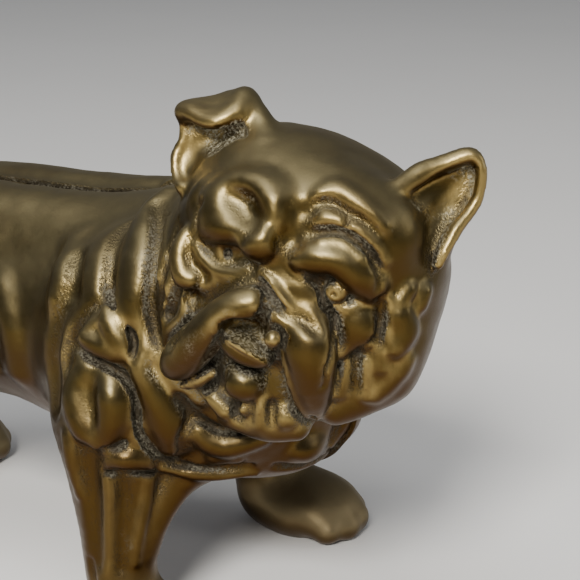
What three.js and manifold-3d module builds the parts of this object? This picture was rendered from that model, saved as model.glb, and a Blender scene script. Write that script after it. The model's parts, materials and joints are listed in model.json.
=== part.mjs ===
// Cast-brass bulldog coin bank, made as two hollow half castings that meet on the plane y = 0 and are
// clamped by two long screws. Millimetres, +Z up, the dog faces +X and turns its head to its right (-Y).
import * as THREE from 'three';
import { mergeVertices } from 'three/addons/utils/BufferGeometryUtils.js';
import { edgeTable, triTable } from 'three/addons/objects/MarchingCubes.js';
import Module from 'manifold-3d';

const wasm = await Module();
wasm.setup();

// ---------------------------------------------------------------- driving dimensions
const WALL = 4; // thickness of the cast shell
const GAP = 0.3; // clearance between neighbouring pieces
const BODY_CELL = 6.4; // size of the facets on the body
const HEAD_CELL = 4.2; // size of the facets on the head
const CAVITY_CELL = 7.5;
const CAVITY_BLEND = 6;
const FACET_SAG = 0.6; // flat facets cut inside the curves, so the chamber stays this much smaller
const ORIGIN_SHIFT = [14.9, 2.1, 0]; // puts the origin under the middle of the whole dog
const FAR = 400; // larger than the object, for half-space boxes

const HEAD_CENTRE = [60, -19.5, 113.5];
const HEAD_YAW = THREE.MathUtils.degToRad(9); // from square to the body, back towards the front
const HEAD_PITCH = THREE.MathUtils.degToRad(3);
const HEAD_ROLL = THREE.MathUtils.degToRad(14);

const SLOT = { x: -24, length: 38, width: 5, top: 126, bottom: 99 }; // all of it in the right half

const SCREW = { shank: 2.4, head: 4.8, headHeight: 3.4, driverWidth: 1.2, driverDepth: 1.5, tipY: -12 };
const WASHER = { inner: 2.75, outer: 5.3, thickness: 1 };
const NUT = { acrossFlats: 8, thickness: 4, faceY: -7, bore: 2.7 };
const POST = { radius: 7.5, hole: 2.9, sink: 5.8 };
const DOWEL = { radius: 2, near: -9, far: 7, boss: 5, bossDepth: 13 };
// Each clamp screw's place on the parting plane, and the y of the seat under its washer.
const SCREWS = {
  front: { x: 27, z: 61.5, seat: 35 },
  rear: { x: -90, z: 79.5, seat: 28 },
};
const DOWELS = {
  front: { x: 48, z: 55.5 },
  rear: { x: -114.5, z: 73.5 },
};

// ---------------------------------------------------------------- modelling masses
// A mass is a signed distance: below zero inside. Masses melt into each other over a blend distance.
const ball = (centre, radii, blend = 6) => ({ centre, radii, blend });
const rope = (knots, blend = 4) => ({ knots, blend });

function ballDistance({ centre, radii }, p) {
  let k0 = 0;
  let k1 = 0;
  for (let i = 0; i < 3; i++) {
    const q = (p[i] - centre[i]) / radii[i];
    k0 += q * q;
    k1 += (q / radii[i]) ** 2;
  }
  k0 = Math.sqrt(k0);
  k1 = Math.sqrt(k1);
  return k1 > 0 ? (k0 * (k0 - 1)) / k1 : -Math.min(...radii);
}

function ropeDistance({ knots }, p) {
  let best = Infinity;
  for (let i = 0; i + 1 < knots.length; i++) {
    const [a, b] = [knots[i], knots[i + 1]];
    const ab = [b[0] - a[0], b[1] - a[1], b[2] - a[2]];
    const ap = [p[0] - a[0], p[1] - a[1], p[2] - a[2]];
    const along = ap[0] * ab[0] + ap[1] * ab[1] + ap[2] * ab[2];
    const t = THREE.MathUtils.clamp(along / (ab[0] ** 2 + ab[1] ** 2 + ab[2] ** 2), 0, 1);
    const miss = Math.hypot(ap[0] - t * ab[0], ap[1] - t * ab[1], ap[2] - t * ab[2]);
    best = Math.min(best, miss - (a[3] + t * (b[3] - a[3])));
  }
  return best;
}

function melt(a, b, blend) {
  const h = Math.max(blend - Math.abs(a - b), 0) / blend;
  return Math.min(a, b) - (h * h * blend) / 4;
}

function distance(masses, p) {
  let d = Infinity;
  for (const mass of masses) {
    const one = mass.knots ? ropeDistance(mass, p) : ballDistance(mass, p);
    d = d === Infinity ? one : melt(d, one, mass.blend);
  }
  return d;
}

// The same mass on the dog's right (near, -y) and left (far, +y) side.
function bothSides(mass) {
  const flip = ([x, y, z, ...rest]) => [x, -y, z, ...rest];
  const other = mass.knots ? rope(mass.knots.map(flip), mass.blend) : ball(flip(mass.centre), mass.radii, mass.blend);
  return [mass, other];
}

const CORE = [
  ball([2, 0, 78.5], [50, 39, 35]),
  ball([34, -2, 68.5], [27, 34, 27], 12),
  ball([-48, 0, 81.5], [54, 31, 32], 14),
  ball([-92, 0, 82.5], [33, 35, 31], 12),
  rope([[14, -3, 89.5, 28], [40, -12, 101.5, 30]], 14),
  ...bothSides(ball([12, -30, 79.5], [23, 17, 33], 10)),
  ...bothSides(ball([-94, -25, 67.5], [25, 17, 34], 10)),
];

const BACK_MUSCLE = rope([[-98, -10, 101.5, 10], [-40, -10, 104.5, 10], [2, -9, 104.5, 10]], 8);

const NECK_FOLDS = rope([[22, -30, 113.5, 7], [20, -38, 95.5, 9], [24, -40, 79.5, 8]], 8);

const NEAR_FRONT_LEG = [
  ball([14, -37, 69.5], [13, 11, 19], 6),
  rope([[5, -34, 61, 14], [9.5, -37, 43, 12], [11, -39, 27, 10], [12, -39, 13, 9.5]], 8),
  ball([24, -40, 7.5], [20, 13, 8.5], 6),
];

const FAR_FRONT_LEG = [
  ball([14, 37, 69.5], [13, 11, 19], 6),
  rope([[5, 34, 61, 14], [9.5, 38, 43, 12], [12, 41, 27, 10], [14, 42, 13, 9]], 8),
  ball([27, 43, 8], [21, 13, 9.5], 6),
];

const HIND_LEG = [
  rope([[-92, -31, 52, 15], [-117, -34, 35, 9.5], [-117, -34, 14, 9]], 8),
  ball([-108, -35, 8], [19, 12.5, 9.5], 6),
];

const TAIL = rope([[-118, 0, 95, 7], [-127, 1, 89, 6], [-129, 4, 80, 5], [-125, 7, 74, 4]], 5);

const BODY = [
  ...CORE,
  NECK_FOLDS,
  ...[BACK_MUSCLE, ...HIND_LEG].flatMap(bothSides),
  ...NEAR_FRONT_LEG,
  ...FAR_FRONT_LEG,
  TAIL,
];

// Head masses, seen from the front of the face: [towards the dog's left, out of the face, up].
const SKULL = [
  ball([-1, 3, 5], [32, 28, 23.5]),
  ball([21, 4, -8], [14, 20, 21], 10),
  ball([-21, 7, -10], [12, 18, 18], 10),
  ball([0, 7, -23.5], [27, 20, 19.5], 10),
  ball([19, 10, -24], [13, 15, 13], 6),
];

const FACE = [
  ball([0, 23, -8], [16, 13, 15], 6),
  ball([0, 18, -28], [14, 14, 12], 5),
  rope([[3.5, 28, 9.5, 4.5], [10, 29, 11.5, 5], [18, 27, 9.5, 5], [24, 21, 3, 4]], 3),
  rope([[-6, 29, 9.5, 5.5], [-13.6, 28, 11, 5], [-22, 23, 9, 4.5]], 3),
  rope([[3.5, 34, 0, 4], [9.5, 35, -6, 5.5], [13, 34, -14, 5.5], [16.5, 28, -31, 4.5]], 3),
  rope([[-3.5, 34, 0, 4], [-9, 35, -9, 5], [-14, 33, -19, 5.2], [-18.5, 29, -30, 5]], 3),
  ball([0, 34, -1], [6, 5, 6], 3),
  ball([-2, 32, -15], [7.5, 5, 3.4], 2),
  ball([-1, 30, -26], [6.5, 5.5, 6], 2),
  ball([18, 23, -5], [6, 5.5, 8], 3),
  rope([[-28, 17, 3, 3.5], [-24, 20, -5, 4.5], [-20, 23, -11, 4]], 3),
];

// The head's turn, tilt and place, as one matrix.
const HEAD_FRAME = new THREE.Matrix4()
  .makeRotationFromEuler(new THREE.Euler(HEAD_PITCH, HEAD_ROLL, HEAD_YAW, 'ZXY'))
  .setPosition(...HEAD_CENTRE);

// The pricked ear and the folded ear as outlines: [towards the dog's left, up].
const PRICKED_EAR = [
  [14, 18], [20, 28], [26, 34], [30.5, 37], [35, 35], [37, 27], [37, 19], [31, 8], [24, 10],
];
const FOLDED_EAR = [
  [-14, 22], [-19, 30], [-24, 34], [-35, 29], [-38.5, 21], [-37, 15], [-38.5, 9.5], [-33, 4], [-24, 8],
];
const EAR_DEPTH = 3.4;
const EAR_BEVEL = 1.6;
const EAR_BACK = -2; // how far out of the face the ear's back stands
const EAR_HOLLOWS = [
  { centre: [28, 8, 22], radii: [6, 7.5, 10] },
  { centre: [-29, 9, 17], radii: [7, 8, 9] },
];
// The folded ear's tip rolls forward over its hollow: three rolls side by side, from back to front.
const EAR_FLAP = [
  rope([[-35, 2, 28, 3.4], [-28, 4, 32, 4], [-23, 2, 34, 4]]),
  rope([[-35, 7, 28, 3.4], [-28, 9, 31.5, 3.8], [-22, 6, 34, 3.6]]),
  rope([[-34, 11, 26, 2.8], [-28, 13, 28, 3.2], [-22, 10, 31, 2.8]]),
];

// ---------------------------------------------------------------- solids
function solid(geometry) {
  const bare = geometry.clone();
  bare.deleteAttribute('normal');
  bare.deleteAttribute('uv');
  const merged = mergeVertices(bare, 1e-4);
  return new wasm.Manifold(new wasm.Mesh({
    numProp: 3,
    vertProperties: new Float32Array(merged.attributes.position.array),
    triVerts: new Uint32Array(merged.index.array),
  }));
}

const CORNERS = [
  [0, 0, 0], [1, 0, 0], [1, 1, 0], [0, 1, 0], [0, 0, 1], [1, 0, 1], [1, 1, 1], [0, 1, 1],
];
const EDGES = [
  [0, 1], [1, 2], [2, 3], [3, 0], [4, 5], [5, 6], [6, 7], [7, 4], [0, 4], [1, 5], [2, 6], [3, 7],
];
const CORNER_CLEARANCE = 0.12; // keeps facets off the grid's corners, as a share of a cell

// Closed facets over the surface where a signed distance is zero, one shared vertex for each cut grid edge.
function facets(field, low, high, cell) {
  const n = low.map((value, i) => Math.ceil((high[i] - value) / cell) + 1);
  const id = (i, j, k) => i + n[0] * (j + n[1] * k);
  const place = (i, j, k) => [low[0] + i * cell, low[1] + j * cell, low[2] + k * cell];
  const value = new Float64Array(n[0] * n[1] * n[2]);
  forEachCell(n, (i, j, k) => {
    const d = field(place(i, j, k));
    const least = CORNER_CLEARANCE * cell;
    value[id(i, j, k)] = Math.abs(d) < least ? Math.sign(d || 1) * least : d;
  });
  const vertices = [];
  const triangles = [];
  const seen = new Map();
  const vertexOn = (a, b) => {
    const [ia, ib] = [id(...a), id(...b)];
    const key = ia < ib ? ia * value.length + ib : ib * value.length + ia;
    if (!seen.has(key)) {
      const t = value[ia] / (value[ia] - value[ib]);
      const [pa, pb] = [place(...a), place(...b)];
      seen.set(key, vertices.length / 3);
      vertices.push(...pa.map((v, axis) => v + t * (pb[axis] - v)));
    }
    return seen.get(key);
  };
  forEachCell(n.map((count) => count - 1), (i, j, k) => {
    const at = CORNERS.map(([a, b, c]) => [i + a, j + b, k + c]);
    const kind = at.reduce((bits, corner, bit) => bits | ((value[id(...corner)] < 0 ? 1 : 0) << bit), 0);
    if (edgeTable[kind] === 0) return;
    for (let t = kind * 16; triTable[t] !== -1; t += 3) {
      const [a, b, c] = [0, 2, 1].map((step) => EDGES[triTable[t + step]].map((corner) => at[corner]));
      triangles.push(vertexOn(...a), vertexOn(...b), vertexOn(...c));
    }
  });
  return new wasm.Manifold(new wasm.Mesh({
    numProp: 3,
    vertProperties: new Float32Array(vertices),
    triVerts: new Uint32Array(triangles),
  }));
}

function forEachCell([nx, ny, nz], visit) {
  for (let k = 0; k < nz; k++) {
    for (let j = 0; j < ny; j++) {
      for (let i = 0; i < nx; i++) visit(i, j, k);
    }
  }
}

function box(low, high) {
  const size = high.map((v, i) => v - low[i]);
  const middle = high.map((v, i) => (v + low[i]) / 2);
  return solid(new THREE.BoxGeometry(...size).translate(...middle));
}

// A round or hexagonal bar along y, from one y to another.
function bar(x, z, radius, fromY, toY, sides = 20) {
  const geometry = new THREE.CylinderGeometry(radius, radius, toY - fromY, sides);
  return solid(geometry.translate(x, (fromY + toY) / 2, z));
}

const nutRadius = (flats) => flats / 2 / Math.cos(Math.PI / 6);

// ---------------------------------------------------------------- the dog
// Head masses are written from the viewer's side, so "out of the face" is the head frame's -y.
const inHead = ([u, v, w, ...rest]) => [...new THREE.Vector3(u, -v, w).applyMatrix4(HEAD_FRAME), ...rest];

function headMesh() {
  const back = HEAD_FRAME.clone().invert();
  const masses = [...SKULL, ...FACE];
  const field = (p) => {
    const q = new THREE.Vector3(...p).applyMatrix4(back);
    return distance(masses, [q.x, -q.y, q.z]);
  };
  return facets(field, [16, -66, 60], [104, 18, 146], HEAD_CELL);
}

function bodyMesh() {
  return facets((p) => distance(BODY, p), [-140, -60, -8], [82, 60, 142], BODY_CELL);
}

// The coin chamber follows the trunk, neck and skull one wall thickness inside.
function cavityMesh() {
  const back = HEAD_FRAME.clone().invert();
  const field = (p) => {
    const q = new THREE.Vector3(...p).applyMatrix4(back);
    return melt(distance(CORE, p), distance(SKULL, [q.x, -q.y, q.z]), CAVITY_BLEND) + WALL + FACET_SAG;
  };
  return facets(field, [-140, -60, 26], [104, 60, 142], CAVITY_CELL);
}

function earPlate(outline) {
  const curve = new THREE.CatmullRomCurve3(outline.map(([u, w]) => new THREE.Vector3(u, w, 0)), true);
  const shape = new THREE.Shape(curve.getPoints(22).slice(0, -1).map((p) => new THREE.Vector2(p.x, p.y)));
  const plate = new THREE.ExtrudeGeometry(shape, {
    depth: EAR_DEPTH, bevelSize: EAR_BEVEL, bevelThickness: EAR_BEVEL, bevelSegments: 1, steps: 1,
  });
  plate.rotateX(Math.PI / 2).translate(0, -EAR_BACK, 0);
  return solid(plate.applyMatrix4(HEAD_FRAME));
}

function ellipsoid({ centre, radii }) {
  const geometry = new THREE.SphereGeometry(1, 14, 9).scale(...radii);
  return solid(geometry.translate(centre[0], -centre[1], centre[2]).applyMatrix4(HEAD_FRAME));
}

function ears() {
  const flap = EAR_FLAP.map(({ knots, blend }) => rope(knots.map(inHead), blend));
  const flapMesh = facets((p) => distance(flap, p), [12, -50, 123], [60, -10, 162], HEAD_CELL - 1);
  let both = earPlate(PRICKED_EAR).add(earPlate(FOLDED_EAR));
  for (const hollow of EAR_HOLLOWS) both = both.subtract(ellipsoid(hollow));
  return both.add(flapMesh);
}

// The closed skin of the whole dog, standing on flat soles.
function skin() {
  const whole = bodyMesh().add(headMesh()).add(ears());
  return whole.intersect(box([-FAR, -FAR, 0], [FAR, FAR, FAR]));
}

function halves() {
  const skinSolid = skin();
  const shell = skinSolid.subtract(cavityMesh());
  const slot = box(
    [SLOT.x - SLOT.length / 2, -SLOT.width, SLOT.bottom],
    [SLOT.x + SLOT.length / 2, 0, SLOT.top],
  );
  const rightSide = box([-FAR, -FAR, -FAR], [FAR, -GAP / 2, FAR]);
  const leftSide = box([-FAR, GAP / 2, -FAR], [FAR, FAR, FAR]);
  let right = shell.intersect(rightSide).subtract(slot);
  let left = shell.intersect(leftSide);
  for (const { x, z, seat } of Object.values(SCREWS)) {
    right = right.add(bar(x, z, POST.radius, -60, -GAP / 2).intersect(skinSolid));
    left = left.add(bar(x, z, POST.radius, GAP / 2, 60).intersect(skinSolid));
    right = right.subtract(bar(x, z, POST.hole, SCREW.tipY - 2, 1));
    right = right.subtract(bar(x, z, nutRadius(NUT.acrossFlats + 2 * GAP), NUT.faceY - NUT.thickness - GAP, 1, 6));
    left = left.subtract(bar(x, z, POST.hole, -1, 60)).subtract(bar(x, z, POST.sink, seat, 70));
  }
  for (const { x, z } of Object.values(DOWELS)) {
    right = right.add(bar(x, z, DOWEL.boss, -DOWEL.bossDepth, -GAP / 2).intersect(skinSolid));
    left = left.add(bar(x, z, DOWEL.boss, GAP / 2, DOWEL.bossDepth).intersect(skinSolid));
    right = right.subtract(bar(x, z, DOWEL.radius + GAP, DOWEL.near - GAP, 1));
    left = left.subtract(bar(x, z, DOWEL.radius + GAP, -1, DOWEL.far + GAP));
  }
  return { right, left };
}

// ---------------------------------------------------------------- hardware
function screw({ x, z, seat }) {
  const headFrom = seat + WASHER.thickness + 2 * GAP;
  const headTo = headFrom + SCREW.headHeight;
  const slotLow = [x - SCREW.head - 1, headTo - SCREW.driverDepth, z - SCREW.driverWidth / 2];
  const slotHigh = [x + SCREW.head + 1, headTo + 1, z + SCREW.driverWidth / 2];
  const shank = bar(x, z, SCREW.shank, SCREW.tipY, headFrom + 1, 16);
  return bar(x, z, SCREW.head, headFrom, headTo, 24).add(shank).subtract(box(slotLow, slotHigh));
}

function washer({ x, z, seat }) {
  const ring = bar(x, z, WASHER.outer, seat + GAP, seat + GAP + WASHER.thickness, 24);
  return ring.subtract(bar(x, z, WASHER.inner, seat - 1, seat + 4, 20));
}

function nut({ x, z }) {
  const hexagon = bar(x, z, nutRadius(NUT.acrossFlats), NUT.faceY - NUT.thickness, NUT.faceY, 6);
  return hexagon.subtract(bar(x, z, NUT.bore, NUT.faceY - NUT.thickness - 1, NUT.faceY + 1, 20));
}

const dowel = ({ x, z }) => bar(x, z, DOWEL.radius, DOWEL.near, DOWEL.far, 16);

// ---------------------------------------------------------------- assembly
const FINISHES = {
  brass: { color: 0x8a6a2c, metalness: 0.95, roughness: 0.34 },
  farBrass: { color: 0x7d6230, metalness: 0.95, roughness: 0.38 },
  screwBrass: { color: 0xb08a3e, metalness: 0.95, roughness: 0.32 },
  steel: { color: 0x9a9ca0, metalness: 0.9, roughness: 0.36 },
};

function part(name, piece, finish) {
  const { vertProperties, triVerts, numProp } = piece.getMesh();
  const position = new Float32Array((vertProperties.length / numProp) * 3);
  for (let i = 0; i < position.length / 3; i++) {
    for (let axis = 0; axis < 3; axis++) position[3 * i + axis] = vertProperties[numProp * i + axis];
  }
  const geometry = new THREE.BufferGeometry();
  geometry.setAttribute('position', new THREE.BufferAttribute(position, 3));
  geometry.setIndex(new THREE.BufferAttribute(new Uint32Array(triVerts), 1));
  geometry.computeVertexNormals();
  const mesh = new THREE.Mesh(geometry, new THREE.MeshStandardMaterial(FINISHES[finish]));
  mesh.name = name;
  return mesh;
}

const bank = new THREE.Group();
const { right, left } = halves();
bank.add(part('right_half_casting', right, 'brass'), part('left_half_casting', left, 'farBrass'));
for (const [place, spot] of Object.entries(SCREWS)) {
  bank.add(part(`${place}_clamp_screw`, screw(spot), 'screwBrass'));
  bank.add(part(`${place}_washer`, washer(spot), 'screwBrass'));
  bank.add(part(`${place}_nut`, nut(spot), 'steel'));
}
for (const [place, spot] of Object.entries(DOWELS)) {
  bank.add(part(`${place}_dowel`, dowel(spot), 'steel'));
}
bank.position.set(...ORIGIN_SHIFT);

export default bank;
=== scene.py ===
import json
import math

import bpy
import numpy as np
import openvdb
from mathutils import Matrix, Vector

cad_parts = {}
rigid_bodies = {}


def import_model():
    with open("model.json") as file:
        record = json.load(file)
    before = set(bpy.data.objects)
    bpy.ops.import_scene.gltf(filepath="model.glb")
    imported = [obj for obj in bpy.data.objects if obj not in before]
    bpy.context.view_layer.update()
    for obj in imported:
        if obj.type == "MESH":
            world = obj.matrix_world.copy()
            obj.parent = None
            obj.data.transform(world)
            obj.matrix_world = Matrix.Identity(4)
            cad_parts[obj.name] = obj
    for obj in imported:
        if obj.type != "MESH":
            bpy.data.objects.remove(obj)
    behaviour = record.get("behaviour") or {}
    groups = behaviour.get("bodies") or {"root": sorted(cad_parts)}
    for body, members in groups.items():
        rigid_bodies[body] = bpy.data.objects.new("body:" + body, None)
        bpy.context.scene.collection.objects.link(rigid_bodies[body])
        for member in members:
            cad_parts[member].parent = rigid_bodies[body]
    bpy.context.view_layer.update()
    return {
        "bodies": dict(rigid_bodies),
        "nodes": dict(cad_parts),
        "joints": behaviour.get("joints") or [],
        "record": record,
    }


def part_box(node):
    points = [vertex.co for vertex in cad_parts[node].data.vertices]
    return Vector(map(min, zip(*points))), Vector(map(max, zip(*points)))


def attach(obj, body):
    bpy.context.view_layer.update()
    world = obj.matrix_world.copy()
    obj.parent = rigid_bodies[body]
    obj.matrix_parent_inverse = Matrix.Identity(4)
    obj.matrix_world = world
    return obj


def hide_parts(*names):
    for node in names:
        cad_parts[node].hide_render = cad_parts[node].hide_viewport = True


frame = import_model()
RNG = np.random.default_rng(7)

# ------------------------------------------------------------------ the object's own measures
MM = 0.001
FINE = 0.82  # grid pitch of the outer skin, mm
THINNING = 0.0015  # how far flat stretches of skin may be simplified
COARSE = 2.2  # grid pitch of the chamber, mm
PARTING = 0.15  # each half stops this far from the parting plane, mm
LIP = 1.2  # the left half is cast this much fuller, so its edge shows along the seam, mm


# ------------------------------------------------------------------ modelling clay on a grid
# The bank is modelled in millimetres in the sculptor's own frame: the halves meet on y = 0, the dog
# stands on z = 0 and faces +X. Head masses are written as seen from the front of the face:
# (towards the dog's left, out of the face, up).
HEAD_CENTRE = np.array([60.0, -19.5, 113.5])
HEAD_YAW, HEAD_PITCH, HEAD_ROLL = np.radians([9.0, 3.0, 14.0])
WALL = 4.0
OUTSIDE = 12.0  # the clay's distance where nothing has been added yet


def turned(yaw, pitch, roll):
    """Rows: the face's left, outward and up directions in the sculptor's frame."""
    left = np.array([math.cos(yaw), math.sin(yaw), 0.0])
    out = np.array([math.sin(yaw), -math.cos(yaw), 0.0])
    up = np.array([0.0, 0.0, 1.0])
    out, up = math.cos(pitch) * out - math.sin(pitch) * up, math.cos(pitch) * up + math.sin(pitch) * out
    up, left = math.cos(roll) * up + math.sin(roll) * left, math.cos(roll) * left - math.sin(roll) * up
    return np.array([left, out, up])


HEAD_AXES = turned(HEAD_YAW, HEAD_PITCH, HEAD_ROLL)
BODY_AXES = np.eye(3)
MIRROR_AXES = np.diag([1.0, -1.0, 1.0])
FRAMES = {
    "body": (np.zeros(3), BODY_AXES),
    "mirror": (np.zeros(3), MIRROR_AXES),
    "head": (HEAD_CENTRE, HEAD_AXES),
    "near": (np.zeros(3), MIRROR_AXES),
    "far": (np.zeros(3), BODY_AXES),
    "front": (np.zeros(3), np.array([[0.0, 1.0, 0.0], [1.0, 0.0, 0.0], [0.0, 0.0, 1.0]])),
    "rear": (np.zeros(3), np.array([[0.0, 1.0, 0.0], [-1.0, 0.0, 0.0], [0.0, 0.0, 1.0]])),
    "top": (np.zeros(3), np.array([[1.0, 0.0, 0.0], [0.0, 0.0, 1.0], [0.0, 1.0, 0.0]])),
}
# Where a look for the surface starts from, out from each frame's middle.
REACH = {"head": 46.0, "near": 60.0, "far": 60.0, "front": 104.0, "rear": 134.0, "top": 130.0}


def ball(centre, radii, blend=5.0, spin=0.0, nod=0.0):
    """An egg of clay. spin turns it in the plane of its first and last axes, nod in the last two."""
    return {"centre": np.array(centre, float), "radii": np.array(radii, float), "blend": blend,
            "spin": math.radians(spin), "nod": math.radians(nod)}


def rope(knots, blend=3.0):
    """A roll of clay along a smooth curve through the knots (place and radius)."""
    return {"path": smooth_path(np.array(knots, float)), "blend": blend}


def smooth_path(knots, steps=5):
    """Catmull-Rom points through the knots, radius included."""
    if len(knots) < 3:
        return knots
    k = np.vstack([2 * knots[0] - knots[1], knots, 2 * knots[-1] - knots[-2]])
    points = []
    for a, b, c, d in zip(k[:-3], k[1:-2], k[2:-1], k[3:]):
        for t in np.arange(steps) / steps:
            points.append(0.5 * (2 * b + (c - a) * t + (2 * a - 5 * b + 4 * c - d) * t**2
                                 + (3 * b - a - 3 * c + d) * t**3))
    points.append(knots[-1])
    return np.array(points)


def mass_reach(mass):
    if "path" in mass:
        r = mass["path"][:, 3:]
        return (mass["path"][:, :3] - r).min(0), (mass["path"][:, :3] + r).max(0)
    r = mass["radii"]
    if mass["spin"] or mass["nod"]:
        r = np.full(3, r.max())
    return mass["centre"] - r, mass["centre"] + r


def ball_distance(mass, p):
    q = [p[i] - mass["centre"][i] for i in range(3)]
    if mass["spin"]:
        c, s = math.cos(mass["spin"]), math.sin(mass["spin"])
        q = [c * q[0] + s * q[2], q[1], -s * q[0] + c * q[2]]
    if mass["nod"]:
        c, s = math.cos(mass["nod"]), math.sin(mass["nod"])
        q = [q[0], c * q[1] + s * q[2], -s * q[1] + c * q[2]]
    r = mass["radii"]
    k0 = np.sqrt(sum((q[i] / r[i]) ** 2 for i in range(3)))
    k1 = np.sqrt(sum((q[i] / r[i] ** 2) ** 2 for i in range(3)))
    return k0 * (k0 - 1) / np.maximum(k1, 1e-6)


def rope_distance(mass, p):
    path = mass["path"]
    best = None
    for a, b in zip(path[:-1], path[1:]):
        ab = b[:3] - a[:3]
        ap = [p[i] - a[i] for i in range(3)]
        t = np.clip(sum(ap[i] * ab[i] for i in range(3)) / max(ab @ ab, 1e-9), 0, 1)
        d = np.sqrt(sum((ap[i] - t * ab[i]) ** 2 for i in range(3))) - (a[3] + t * (b[3] - a[3]))
        best = d if best is None else np.minimum(best, d)
    return best


def melt(a, b, blend):
    h = np.maximum(blend - np.abs(a - b), 0) / blend
    return np.minimum(a, b) - h * h * blend / 4


class Clay:
    """Clay on a grid: a signed distance in millimetres, below zero inside."""

    def __init__(self, low, high, pitch):
        self.low, self.pitch = np.array(low, float), pitch
        count = np.ceil((np.array(high) - self.low) / pitch).astype(int) + 1
        self.d = np.full(count, OUTSIDE, np.float32)
        self.axes = [(self.low[i] + pitch * np.arange(count[i])).astype(np.float32) for i in range(3)]

    def window(self, low, high):
        """The part of the grid between two corners, and its points."""
        cut = []
        for i in range(3):
            a = int(np.floor((low[i] - self.low[i]) / self.pitch))
            b = int(np.ceil((high[i] - self.low[i]) / self.pitch)) + 1
            cut.append(slice(max(a, 0), max(min(b, self.d.shape[i]), 0)))
        x, y, z = (self.axes[i][cut[i]] for i in range(3))
        return tuple(cut), (x[:, None, None], y[None, :, None], z[None, None, :])

    def work(self, mass, frame="body", cut=False):
        """Adds a mass, or cuts it away, melted in over its blend distance."""
        middle, axes = FRAMES[frame]
        low, high = mass_reach(mass)
        corners = np.array([[x, y, z] for x in (low[0], high[0]) for y in (low[1], high[1])
                            for z in (low[2], high[2])]) @ axes + middle
        margin = mass["blend"] + 2 * self.pitch
        here, p = self.window(corners.min(0) - margin, corners.max(0) + margin)
        if self.d[here].size == 0:
            return
        if frame != "body":
            q = [p[i] - middle[i] for i in range(3)]
            p = [axes[j][0] * q[0] + axes[j][1] * q[1] + axes[j][2] * q[2] for j in range(3)]
        d = (rope_distance if "path" in mass else ball_distance)(mass, p).astype(np.float32)
        if cut:
            self.d[here] = -melt(-self.d[here], d, mass["blend"])
        else:
            self.d[here] = melt(self.d[here], d, mass["blend"])

    def at(self, places):
        """The clay's distance at any places, between the grid's points."""
        g = np.clip((places - self.low) / self.pitch, 0, np.array(self.d.shape) - 1.001)
        i = g.astype(int)
        f = g - i
        total = 0.0
        for corner in np.ndindex(2, 2, 2):
            weight = np.prod(np.where(corner, f, 1 - f), axis=1)
            total = total + weight * self.d[tuple((i + corner).T)]
        return total


# ------------------------------------------------------------------ the dog's masses
CORE = [
    ball((2, 0, 78.5), (50, 39, 35)),
    ball((34, -2, 68.5), (27, 34, 27), 12),
    ball((-48, 0, 81.5), (54, 31, 32), 14),
    ball((-92, 0, 82.5), (33, 35, 31), 12),
    rope([(14, -3, 89.5, 28), (40, -12, 101.5, 30)], 14),
]
SHOULDER = ball((12, -30, 79.5), (23, 17, 33), 10)
THIGH = ball((-94, -25, 67.5), (25, 17, 34), 10)
BACK_MUSCLE = rope([(-98, -10, 101.5, 10), (-40, -10, 104.5, 10), (2, -9, 104.5, 10)], 8)
FRONT_LEG = [
    ball((14, -37, 69.5), (13, 11, 19), 6),
    rope([(5, -34, 61, 14), (9.5, -37, 43, 12), (11, -39, 27, 10), (12, -39, 13, 9.5)], 8),
    ball((23, -40, 7.5), (18, 13, 8.5), 6),
]
FAR_FRONT_LEG = [
    ball((14, 37, 69.5), (13, 11, 19), 6),
    rope([(5, 34, 61, 14), (9.5, 38, 43, 12), (12, 41, 27, 10), (14, 42, 13, 9)], 8),
    ball((25, 43, 8), (18, 13, 9.5), 6),
]
HIND_LEG = [
    rope([(-92, -31, 52, 15), (-117, -34, 35, 9.5), (-117, -34, 14, 9)], 8),
    ball((-108, -35, 8), (17, 12.5, 9.5), 6),
]
TAIL = rope([(-118, 0, 95, 7), (-127, 1, 89, 6), (-129, 4, 80, 5), (-125, 7, 74, 4)], 5)
SKULL = [
    ball((-1, 3, 5), (32, 26.5, 23.5)),
    ball((21, 4, -8), (14, 20, 21), 10),
    ball((-21, 7, -10), (12, 18, 18), 10),
    ball((-2, 7, -23.5), (25, 20, 19.5), 10),
    ball((17, 10, -21), (12, 15, 12), 6),
    ball((0, 13, 11), (24, 14, 12), 8),
    ball((9, 16, 15), (17, 10.5, 12), 6),
    ball((-9, 3, 16.5), (17, 14, 10.5), 7),
]
MUZZLE = [
    ball((0, 21, -8), (17, 12, 15), 5),
    ball((0, 16, -29), (15, 13, 11), 5),
]


def add(clay, masses, frame="body"):
    for mass in masses if isinstance(masses, list) else [masses]:
        clay.work(mass, frame)


def cut(clay, masses, frame="body"):
    for mass in masses if isinstance(masses, list) else [masses]:
        clay.work(mass, frame, cut=True)


def both(clay, masses):
    add(clay, masses)
    add(clay, masses, "mirror")


def base(clay):
    add(clay, CORE)
    both(clay, [SHOULDER, THIGH, BACK_MUSCLE, *HIND_LEG])
    add(clay, FRONT_LEG)
    add(clay, FAR_FRONT_LEG)
    add(clay, TAIL)
    add(clay, SKULL, "head")
    add(clay, MUZZLE, "head")


def hollow(clay):
    """The chamber: the trunk, neck and skull, a wall's thickness inside."""
    add(clay, CORE)
    both(clay, [SHOULDER, THIGH])
    add(clay, SKULL, "head")
    clay.d += WALL


# Marks are laid on whatever surface is there: each has a place (across, up) and a height out of it.
def ridge(height, knots, blend=1.2):
    return {"knots": np.array(knots, float), "height": height, "blend": blend}


def bump(height, place, radii, blend=1.2, spin=0.0):
    return {"place": place, "radii": radii, "height": height, "blend": blend, "spin": spin}


groove = ridge
dent = bump


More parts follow.
